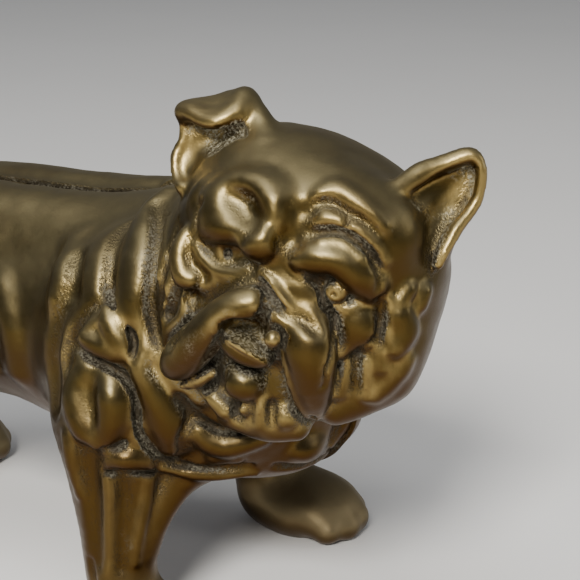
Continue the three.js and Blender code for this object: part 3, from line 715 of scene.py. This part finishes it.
# The folded ear's tip rolls forward from its top edge over the hollow.
TIP_BACK = [(-39.2, 2.0, 23.4, 1.6), (-37.6, 1.0, 25.2, 1.8), (-34.4, 0.2, 26.8, 1.9), (-30.4, 0.0, 28.6, 2.0),
            (-27.4, 0.0, 30.0, 2.2), (-25.4, 0.6, 30.8, 2.6)]
TIP_EDGE = [(-38.6, 5.4, 24.4, 1.2), (-35.8, 7.6, 25.2, 1.4), (-32.2, 9.2, 25.2, 1.6), (-29.2, 9.8, 26.0, 1.7),
            (-26.8, 8.8, 27.6, 1.7), (-25.2, 7.0, 29.0, 1.8)]


def ears(clay):
    add(clay, EAR_PLATES, "head")
    add(clay, [PRICKED_RIM, *FOLDED_RIMS], "head")
    cut(clay, PRICKED_HOLLOW, "head")
    cut(clay, FOLDED_HOLLOW, "head")
    back, edge = np.array(TIP_BACK), np.array(TIP_EDGE)
    for t in (0.0, 0.35, 0.7, 1.0):
        line = back + t * (edge - back)
        line[:, 2] += 1.6 * t * (1 - t)
        add(clay, rope(line, 3.0), "head")


def dog(clay):
    base(clay)
    body_details(clay)
    face(clay)
    ears(clay)


# ------------------------------------------------------------------ from clay to meshes
def middle(node):
    low, high = (np.array(v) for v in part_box(node))
    return (low + high) / 2


# The sculptor's frame differs from the row frame by a shift, read off two CAD pieces.
FRONT_SCREW = np.array([27.0, 0.0, 61.5])
FRONT_DOWEL_Y = -1.0
SHIFT = np.array([middle("front_clamp_screw")[0] / MM - FRONT_SCREW[0],
                  middle("front_dowel")[1] / MM - FRONT_DOWEL_Y, 0.0])


def place(points):
    """Sculptor's millimetres to row-frame metres."""
    return (np.asarray(points, float) + SHIFT) * MM


def new_object(name, points, faces, smooth=True):
    mesh = bpy.data.meshes.new(name)
    mesh.from_pydata(np.asarray(points).tolist(), [], [list(map(int, f)) for f in faces])
    mesh.validate()
    mesh.polygons.foreach_set("use_smooth", [smooth] * len(mesh.polygons))
    obj = bpy.data.objects.new(name, mesh)
    bpy.context.scene.collection.objects.link(obj)
    return obj


def skin_object(name, field, low, pitch, adaptivity=0.0):
    """A closed mesh where the distance is zero."""
    grid = openvdb.FloatGrid(background=4.0 * pitch)
    grid.copyFromArray(np.clip(field, -4 * pitch, 4 * pitch))
    grid.gridClass = openvdb.GridClass.LEVEL_SET
    points, triangles, quads = grid.convertToPolygons(isovalue=0.0, adaptivity=adaptivity)
    points = place(points * pitch + low)
    return new_object(name, points, [*quads[:, ::-1], *triangles[:, ::-1]])


def carve(obj, tool, how):
    """One boolean of two closed meshes; the tool is used up."""
    modifier = obj.modifiers.new("carve", "BOOLEAN")
    modifier.operation = how
    modifier.solver = "MANIFOLD"
    modifier.object = tool
    result = bpy.data.meshes.new_from_object(obj.evaluated_get(bpy.context.evaluated_depsgraph_get()))
    obj.modifiers.remove(modifier)
    old, obj.data = obj.data, result
    result.name = obj.name
    bpy.data.meshes.remove(old)
    bpy.data.meshes.remove(tool.data)
    return obj


def block(low, high):
    low, high = place(low), place(high)
    points = [[(low, high)[i][0], (low, high)[j][1], (low, high)[k][2]]
              for i in (0, 1) for j in (0, 1) for k in (0, 1)]
    faces = [(0, 1, 3, 2), (4, 6, 7, 5), (0, 4, 5, 1), (2, 3, 7, 6), (0, 2, 6, 4), (1, 5, 7, 3)]
    return new_object("block", points, faces, False)


def lathe(name, profile, x, z, sides=48, phase=0.0):
    """A turned piece along y: the profile is (y, radius) from end to end, closed at both ends."""
    turn = np.arange(sides) / sides * 2 * math.pi + phase
    points, faces = [], []
    for y, r in profile:
        points += [[x + r * math.cos(a), y, z + r * math.sin(a)] for a in turn]
    for ring in range(len(profile) - 1):
        for i in range(sides):
            j = (i + 1) % sides
            a, b = ring * sides, (ring + 1) * sides
            faces.append((a + i, b + i, b + j, a + j))
    faces.append(tuple(range(sides)))
    last = (len(profile) - 1) * sides
    faces.append(tuple(last + i for i in reversed(range(sides))))
    return new_object(name, place(points), faces)


def bar(x, z, radius, y0, y1, sides=48, phase=0.0):
    return lathe("bar", [(y0, radius), (y1, radius)], x, z, sides, phase)


def crisp(obj, degrees=38):
    """Smooth shading, with the edges sharper than this left crisp."""
    mesh = obj.data
    mesh.polygons.foreach_set("use_smooth", [True] * len(mesh.polygons))
    mesh.set_sharp_from_angle(angle=math.radians(degrees))
    return obj


# ------------------------------------------------------------------ the two half castings
HALF = 400.0
SLOT_X, SLOT_LENGTH, SLOT_WIDTH, SLOT_BOTTOM = -24.0, 38.0, 5.0, 99.0
SCREWS = {"front": (27.0, 61.5, 35.0), "rear": (-90.0, 79.5, 28.0)}
DOWELS = {"front": (48.0, 55.5), "rear": (-114.5, 73.5)}
POST, HOLE, SINK = 7.5, 2.9, 5.8
NUT_FLATS, NUT_FROM = 8.0, -11.0
SLOT_ABOVE = 140  # where the slot's cut ends, above the back
BORE_TIP = -14  # the blind end of a screw's bore in the right half
BORE_END, RECESS_END = 60, 70  # past the left half's outer side
DOWEL, BOSS, BOSS_DEPTH, DOWEL_FROM, DOWEL_TO = 2.0, 5.0, 13.0, -9.0, 7.0
GAP = 0.3


def chamber():
    """The coin chamber, less the posts and bosses that stand in it."""
    clay = Clay((-140, -60, 24), (106, 60, 144), COARSE)
    hollow(clay)
    room = skin_object("chamber", clay.d, clay.low, COARSE)
    for x, z, _ in SCREWS.values():
        room = carve(room, bar(x, z, POST, -70, 70), "DIFFERENCE")
    for x, z in DOWELS.values():
        room = carve(room, bar(x, z, BOSS, -BOSS_DEPTH, BOSS_DEPTH), "DIFFERENCE")
    return room


def half_casting(name, skin, room, side):
    """side is -1 for the right half and 1 for the left one."""
    y = sorted((side * PARTING, side * HALF))
    obj = carve(skin, block((-HALF, y[0], 0), (HALF, y[1], HALF)), "INTERSECT")
    obj = carve(obj, room, "DIFFERENCE")
    if side < 0:
        slot = block((SLOT_X - SLOT_LENGTH / 2, -SLOT_WIDTH, SLOT_BOTTOM), (SLOT_X + SLOT_LENGTH / 2, 1, SLOT_ABOVE))
        obj = carve(obj, slot, "DIFFERENCE")
    for x, z, seat in SCREWS.values():
        if side < 0:
            obj = carve(obj, bar(x, z, HOLE, BORE_TIP, 1), "DIFFERENCE")
            across = (NUT_FLATS + 2 * GAP) / 2 / math.cos(math.pi / 6)
            obj = carve(obj, bar(x, z, across, NUT_FROM - GAP, 1, 6, math.pi / 6), "DIFFERENCE")
        else:
            obj = carve(obj, bar(x, z, HOLE, -1, BORE_END), "DIFFERENCE")
            obj = carve(obj, bar(x, z, SINK, seat, RECESS_END), "DIFFERENCE")
    for x, z in DOWELS.values():
        y0, y1 = (DOWEL_FROM - GAP, 1) if side < 0 else (-1, DOWEL_TO + GAP)
        obj = carve(obj, bar(x, z, DOWEL + GAP, y0, y1), "DIFFERENCE")
    obj.name = obj.data.name = name
    return crisp(obj)


def smooth_noise(clay, cell):
    """Random heights every few millimetres, blended in between, over the whole grid."""
    counts = [int((n - 1) * clay.pitch / cell) + 3 for n in clay.d.shape]
    field = RNG.uniform(-1, 1, counts).astype(np.float32)
    for axis, n in enumerate(clay.d.shape):
        at = np.arange(n) * clay.pitch / cell
        i = at.astype(int)
        t = (at - i).astype(np.float32)
        t = (t * t * (3 - 2 * t)).reshape([-1 if k == axis else 1 for k in range(3)])
        field = np.take(field, i, axis) * (1 - t) + np.take(field, i + 1, axis) * t
    return field


def weather(clay):
    """The slight unevenness of a sand casting, in three sizes of lump."""
    for cell, amount in ((11.0, 0.30), (4.5, 0.10), (2.1, 0.06)):
        clay.d += amount * smooth_noise(clay, cell)


def surface_marks(obj, clay, lip):
    """Writes how sunk and how ridged the surface is, at two scales, for the patina and the rubbed spots, and which way
    it faces, for the painted reflections.
    """
    mesh = obj.data
    points = np.empty(len(mesh.vertices) * 3)
    mesh.vertices.foreach_get("co", points)
    points = points.reshape(-1, 3) / MM - SHIFT
    normals = np.empty(len(mesh.vertices) * 3, np.float32)
    mesh.vertices.foreach_get("normal", normals)
    normals = normals.reshape(-1, 3)

    def at(distance):
        return clay.at(points + normals * distance) - lip

    marks = {
        "pit_fine": 1 - at(1.3) / 1.3,
        "pit": 1 - at(3.0) / 3.0,
        "pit_broad": 1 - at(7.0) / 7.0,
        "ridge": 1 + at(-1.2) / 1.2,
        "ridge_broad": 1 + at(-4.0) / 4.0,
        "up": normals[:, 2],
    }
    for name, value in marks.items():
        layer = mesh.attributes.new(name, "FLOAT", "POINT")
        layer.data.foreach_set("value", np.clip(value, -1, 1.5).astype(np.float32))


clay = Clay((-140, -62, -3), (106, 66, 160), FINE)
dog(clay)
weather(clay)
bank = {}
for name, side, lip in (("right_half", -1, 0.0), ("left_half", 1, LIP)):
    skin = skin_object(name, clay.d - lip, clay.low, FINE, THINNING)
    bank[name] = half_casting(name, skin, chamber(), side)
    surface_marks(bank[name], clay, lip)
    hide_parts(name + "_casting")
    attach(bank[name], name)


# ------------------------------------------------------------------ materials
class Nodes:
    """A small shorthand for building a node tree."""

    def __init__(self, name):
        self.material = bpy.data.materials.new(name)
        self.material.use_nodes = True
        self.tree = self.material.node_tree
        self.shader = self.tree.nodes["Principled BSDF"]

    def add(self, kind, settings=None, **inputs):
        node = self.tree.nodes.new("ShaderNode" + kind)
        for key, value in (settings or {}).items():
            setattr(node, key, value)
        for key, value in inputs.items():
            self.set(node, key, value)
        return node

    def set(self, node, key, value):
        socket = node.inputs[int(key[1:]) if key[0] == "_" else key.replace("_", " ")]
        if isinstance(value, bpy.types.NodeSocket):
            self.tree.links.new(value, socket)
        elif isinstance(value, bpy.types.Node):
            self.tree.links.new(value.outputs[0], socket)
        else:
            socket.default_value = value

    def math(self, how, a, b=0.0, clamp=False):
        return self.add("Math", {"operation": how, "use_clamp": clamp}, _0=a, _1=b).outputs[0]

    def ramp(self, value, low, high, to_low=0.0, to_high=1.0):
        return self.add("MapRange", {"interpolation_type": "SMOOTHSTEP"}, Value=value, From_Min=low,
                        From_Max=high, To_Min=to_low, To_Max=to_high).outputs[0]

    def mix(self, factor, a, b):
        node = self.add("Mix", {"data_type": "RGBA"})
        for index, value in ((0, factor), (6, a), (7, b)):
            if isinstance(value, bpy.types.NodeSocket):
                self.tree.links.new(value, node.inputs[index])
            else:
                node.inputs[index].default_value = value
        return node.outputs[2]

    def noise(self, where, scale, detail=2.0, rough=0.5):
        return self.add("TexNoise", Vector=where, Scale=scale, Detail=detail, Roughness=rough).outputs["Fac"]

    def mark(self, name):
        return self.add("Attribute", {"attribute_name": name}).outputs["Fac"]


def antique_brass(name):
    """Cast brass under a dark patina, rubbed bright on the high spots and chalky green in the hollows, with painted
    reflections: pale olive on upward faces, warm brown on downward faces and low down, and painted light on the paws.
    """
    n = Nodes(name)
    where = n.add("TexCoord").outputs["Object"]
    cloud = n.noise(where, 38, 3, 0.6)
    mottle = n.noise(where, 240, 4, 0.65)
    grain = n.noise(where, 2100, 3, 0.7)
    speck = n.noise(where, 1500, 2, 0.6)

    def about(value, middle, amount):
        return n.math("MULTIPLY", n.math("SUBTRACT", value, middle), amount)

    def total(*parts):
        result = parts[0]
        for part in parts[1:]:
            result = n.math("ADD", result, part)
        return result

    sunk = total(n.math("MULTIPLY", n.mark("pit"), 0.9), n.math("MULTIPLY", n.mark("pit_broad"), 0.45),
                 n.math("MULTIPLY", n.mark("pit_fine"), 0.5), about(mottle, 0.5, 0.5), about(speck, 0.5, 0.9))
    patina = n.ramp(sunk, 0.40, 1.30)
    raised = total(n.mark("ridge"), n.math("MULTIPLY", n.mark("ridge_broad"), 0.9), about(cloud, 0.5, 0.6),
                   about(mottle, 0.5, 0.4))
    height = n.add("SeparateXYZ", Vector=where).outputs[2]
    rubbed = n.math("MULTIPLY", n.ramp(raised, 0.20, 1.10), n.ramp(height, 0.050, 0.085, 0.45, 1.0))
    colour = n.mix(rubbed, BODY, RUBBED)
    # Painted reflection: downward faces take a warm brown, as if lit from a warm surface below.
    colour = n.mix(n.math("MULTIPLY", n.ramp(n.mark("up"), 0.25, -0.5), 0.9), colour, WARM_REFLECTION_AND_MOTTLE)
    # Painted reflection: upward faces take a pale olive-grey, as if reflecting a pale room above.
    colour = n.mix(n.math("MULTIPLY", n.ramp(n.mark("up"), 0.05, 0.75), 0.8), colour, UPWARD_REFLECTION)
    # Random warm mottling, the metal's own tone.
    colour = n.mix(n.math("MULTIPLY", n.ramp(cloud, 0.45, 0.75), 0.3), colour, WARM_REFLECTION_AND_MOTTLE)
    # Painted reflection: darker and warmer towards the bottom.
    colour = n.mix(n.math("MULTIPLY", n.ramp(height, 0.080, 0.055), 0.5), colour, WARM_REFLECTION_AND_MOTTLE)
    # The paws are lighter, most on their tops: partly a whitish patina, partly painted light where the body's shadow
    # falls.
    paw_patina_and_light = n.math("MULTIPLY", n.ramp(height, 0.026, 0.012), n.ramp(n.mark("up"), -0.3, 0.4, 0.2, 0.7))
    colour = n.mix(paw_patina_and_light, colour, PAW_PATINA_AND_LIGHT)
    colour = n.mix(n.math("MULTIPLY", patina, n.ramp(height, 0.118, 0.130, 1.0, 0.55)), colour, DARK)
    patches = total(n.mark("pit_broad"), about(n.noise(where, 70, 3, 0.6), 0.5, 2.0))
    chalk = n.math("MULTIPLY", n.ramp(patches, 0.45, 1.0),
                   n.ramp(speck, 0.40, 0.66))
    colour = n.mix(n.math("MULTIPLY", chalk, n.ramp(height, 0.118, 0.130, 0.35, 1.0)), colour, CHALK)
    n.set(n.shader, "Base_Color", colour)
    n.set(n.shader, "Metallic", n.math("SUBTRACT", n.ramp(patina, 0.0, 1.0, 1.0, 0.7), n.math("MULTIPLY", chalk, 0.45)))
    shine = total(n.ramp(patina, 0.0, 1.0, 0.36, 0.5), about(mottle, 0.5, 0.16), n.math("MULTIPLY", chalk, 0.2),
                  n.math("MULTIPLY", n.ramp(n.mark("up"), 0.2, 0.9), 0.16), n.math("MULTIPLY", paw_patina_and_light, 0.2))
    n.set(n.shader, "Roughness", shine)
    relief = n.math("MULTIPLY", n.math("ADD", grain, speck), n.ramp(patina, 0.0, 1.0, 0.10, 1.0))
    relief = n.math("ADD", relief, n.math("MULTIPLY", n.noise(where, 130, 2), 0.3))
    n.set(n.shader, "Normal", n.add("Bump", Strength=0.55, Distance=0.0004, Height=relief))
    return n.material


def turned_metal(name, colour, dull, rough):
    """Bright turned or rolled metal with fine tool marks and a little tarnish."""
    n = Nodes(name)
    where = n.add("TexCoord").outputs["Object"]
    cloud = n.ramp(n.noise(where, 220, 4, 0.6), 0.35, 0.75)
    n.set(n.shader, "Base_Color", n.mix(cloud, colour, dull))
    n.shader.inputs["Metallic"].default_value = 1.0
    n.set(n.shader, "Roughness", n.ramp(n.noise(where, 500, 3), 0.3, 0.8, rough, rough + 0.2))
    marks = n.noise(where, 3000, 2)
    n.set(n.shader, "Normal", n.add("Bump", Strength=0.2, Distance=0.0001, Height=marks))
    return n.material


def wear(obj, material):
    obj.data.materials.clear()
    obj.data.materials.append(material)


BODY = (0.072, 0.049, 0.014, 1)
RUBBED = (0.36, 0.262, 0.095, 1)
# Warm brown: a painted reflection on downward faces and low down, and random mottling too.
WARM_REFLECTION_AND_MOTTLE = (0.048, 0.021, 0.005, 1)
# Pale olive-grey: a painted reflection on upward faces.
UPWARD_REFLECTION = (0.180, 0.150, 0.080, 1)
DARK = (0.028, 0.021, 0.011, 1)
CHALK = (0.30, 0.28, 0.20, 1)
# Light paw colour: whitish patina with painted light.
PAW_PATINA_AND_LIGHT = (0.27, 0.215, 0.12, 1)
BRASS = antique_brass("antique_brass")
for obj in bank.values():
    wear(obj, BRASS)
SCREW_BRASS = turned_metal("screw_brass", (0.50, 0.37, 0.15, 1), (0.28, 0.19, 0.07, 1), 0.28)
STEEL = turned_metal("plain_steel", (0.42, 0.42, 0.43, 1), (0.22, 0.20, 0.18, 1), 0.32)
for node, obj in frame["nodes"].items():
    if "casting" not in node:
        wear(obj, STEEL if "nut" in node or "dowel" in node else SCREW_BRASS)


# ------------------------------------------------------------------ floor, light and camera
def floor():
    size = 6.0
    obj = new_object("floor", [(-size, -size, 0), (size, -size, 0), (size, size, 0), (-size, size, 0)],
                     [(0, 1, 2, 3)], False)
    n = Nodes("pale_floor")
    where = n.add("TexCoord").outputs["Object"]
    n.set(n.shader, "Base_Color", n.mix(n.noise(where, 6, 3), (0.76, 0.75, 0.73, 1), (0.80, 0.79, 0.77, 1)))
    n.shader.inputs["Roughness"].default_value = 0.6
    wear(obj, n.material)


def aim(obj, target):
    obj.rotation_euler = (Vector(target) - obj.location).to_track_quat("-Z", "Y").to_euler()


def softbox(name, azimuth, elevation, distance, width, height, power, target, colour=(1, 1, 1)):
    data = bpy.data.lights.new(name, "AREA")
    data.shape, data.size, data.size_y = "RECTANGLE", width, height
    data.energy, data.color = power, colour
    obj = bpy.data.objects.new(name, data)
    bpy.context.scene.collection.objects.link(obj)
    obj.location = Vector(target) + distance * direction(azimuth, elevation)
    aim(obj, target)


def direction(azimuth, elevation):
    """Azimuth 0 is seen from -Y, with +X to the right."""
    a, e = math.radians(azimuth), math.radians(elevation)
    return Vector((math.sin(a) * math.cos(e), -math.cos(a) * math.cos(e), math.sin(e)))


VIEW_TARGET = Vector(place((54.0, -22.0, 101.6)))
VIEW_AZIMUTH, VIEW_ELEVATION, VIEW_DISTANCE = 27.0, 18.0, 0.362
FOCAL_PIXELS, IMAGE_PIXELS = 1440.0, 580.0

floor()
softbox("key", VIEW_AZIMUTH - 14, 38, 1.2, 0.30, 0.30, 26, VIEW_TARGET, (1.0, 0.97, 0.92))
softbox("top", VIEW_AZIMUTH - 60, 72, 1.5, 0.8, 0.7, 9, VIEW_TARGET)
softbox("side", VIEW_AZIMUTH + 85, 20, 1.4, 0.5, 0.7, 3, VIEW_TARGET)
world = bpy.data.worlds.new("studio")
bpy.context.scene.world = world
world.use_nodes = True
world.node_tree.nodes["Background"].inputs["Color"].default_value = (0.82, 0.85, 0.9, 1)
world.node_tree.nodes["Background"].inputs["Strength"].default_value = 0.26

camera = bpy.data.objects.new("camera", bpy.data.cameras.new("camera"))
bpy.context.scene.collection.objects.link(camera)
camera.data.sensor_width = 36.0
camera.data.lens = FOCAL_PIXELS * camera.data.sensor_width / IMAGE_PIXELS
camera.data.clip_start, camera.data.clip_end = 0.01, 50.0
camera.location = VIEW_TARGET + VIEW_DISTANCE * direction(VIEW_AZIMUTH, VIEW_ELEVATION)
aim(camera, VIEW_TARGET)
bpy.context.scene.camera = camera
